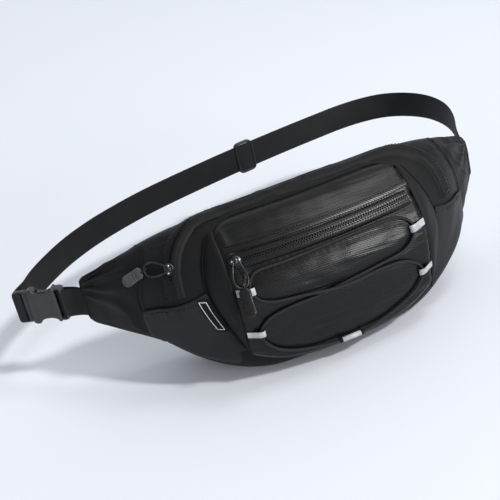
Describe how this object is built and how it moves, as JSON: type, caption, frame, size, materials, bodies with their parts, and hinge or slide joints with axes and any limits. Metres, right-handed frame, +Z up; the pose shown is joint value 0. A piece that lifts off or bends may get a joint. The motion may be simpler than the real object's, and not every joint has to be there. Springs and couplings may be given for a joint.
{
  "type": "waist bag",
  "caption": "Padded waist bag on a webbing belt with a side-release buckle, a laced front pocket, two zips with wire pulls, and soft side wings.",
  "frame": {"origin": "middle of the flat base that the bag stands on", "axes": "+X along the bag, to the right of someone who faces its front, -Y out of the front, +Z up"},
  "size_m": [0.5178, 0.3589, 0.1511],
  "materials": {
    "nylon": "matte plain weave",
    "satin": "smooth, faint sheen",
    "twill": "ribbed weave with a sheen",
    "spacer_mesh": "open knit mesh",
    "webbing": "woven webbing",
    "plastic": "satin moulded",
    "coil": "moulded coil",
    "gunmetal": "dark plated",
    "rubber": "matte moulded",
    "elastic": "braided sheath",
    "reflective": "silver reflective tape",
    "label": "woven, blank"
  },
  "bodies": {
    "bag": {"main_shell": "nylon", "back_panel": "spacer_mesh", "wing_left": "nylon", "wing_right": "nylon", "side_panel_left": "satin", "side_panel_right": "satin", "front_pocket": "twill", "pocket_gusset_left": "nylon", "pocket_gusset_right": "nylon", "front_zip_tape": "webbing", "front_zip_coil": "coil", "front_zip_welt": "twill", "main_zip_tape": "webbing", "main_zip_coil": "coil", "bungee_cord": "elastic", "loop_upper_left": "reflective", "loop_lower_left": "reflective", "loop_upper_right": "reflective", "loop_lower_right": "reflective", "loop_bottom": "reflective", "side_label": "label", "belt_webbing": "webbing", "left_webbing": "webbing", "buckle_socket": "plastic"},
    "front_slider": {"front_zip_slider": "gunmetal"},
    "front_pull": {"front_zip_pull": "gunmetal"},
    "front_tab": {"front_zip_tab": "rubber"},
    "main_slider": {"main_zip_slider": "gunmetal"},
    "main_pull": {"main_zip_pull": "gunmetal"},
    "main_tab": {"main_zip_tab": "rubber"},
    "plug": {"buckle_plug": "plastic", "belt_buckle_end": "webbing"},
    "prong_upper": {"buckle_prong_upper": "plastic"},
    "prong_lower": {"buckle_prong_lower": "plastic"},
    "adjuster": {"belt_adjuster": "plastic"}
  },
  "joints": [
    {"name": "front_slider_travel", "type": "hinge", "parent": "bag", "child": "front_slider", "pos_m": [0, 0.4503, 0.11995], "axis": [0, 0, 1], "range_deg": [0, 18.9]},
    {"name": "front_pull_swing", "type": "hinge", "parent": "front_slider", "child": "front_pull", "pos_m": [-0.0834, -0.04822, 0.12385], "axis": [-0.9863, 0.165, 0], "range_deg": [0, 110]},
    {"name": "front_tab_swing", "type": "hinge", "parent": "front_pull", "child": "front_tab", "pos_m": [-0.08518, -0.05885, 0.10241], "axis": [-0.9863, 0.165, 0], "range_deg": [0, 45]},
    {"name": "main_slider_travel", "type": "hinge", "parent": "bag", "child": "main_slider", "pos_m": [-0.09062, 0.00176, 0.10155], "axis": [-0.3846, 0.9063, -0.1751], "range_deg": [0, 38]},
    {"name": "main_pull_swing", "type": "hinge", "parent": "main_slider", "child": "main_pull", "pos_m": [-0.13515, -0.01583, 0.12238], "axis": [0.2912, 0.306, 0.9064], "range_deg": [0, 110]},
    {"name": "main_tab_swing", "type": "hinge", "parent": "main_pull", "child": "main_tab", "pos_m": [-0.15219, 0.00107, 0.12215], "axis": [-0.1029, 0.617, 0.7802], "range_deg": [0, 45]},
    {"name": "buckle_release", "type": "slide", "parent": "bag", "child": "plug", "axis": [-0.8525, 0.5227, 0], "range_m": [0, 0.03]},
    {"name": "prong_upper_squeeze", "type": "hinge", "parent": "plug", "child": "prong_upper", "pos_m": [-0.24867, 0.0968, 0.093], "axis": [0.5227, 0.8525, 0], "range_deg": [0, 8], "stiffness_Nm_per_rad": 0.2},
    {"name": "prong_lower_squeeze", "type": "hinge", "parent": "plug", "child": "prong_lower", "pos_m": [-0.24867, 0.0968, 0.071], "axis": [-0.5227, -0.8525, 0], "range_deg": [0, 8], "stiffness_Nm_per_rad": 0.2},
    {"name": "adjuster_travel", "type": "hinge", "parent": "bag", "child": "adjuster", "pos_m": [0.277, -1.109, 0.082], "axis": [0, 0, 1], "range_deg": [-4.3, 3.2]}
  ],
  "couplings": [
    {"joint": "prong_lower_squeeze", "follows": "prong_upper_squeeze", "ratio": 1}
  ]
}
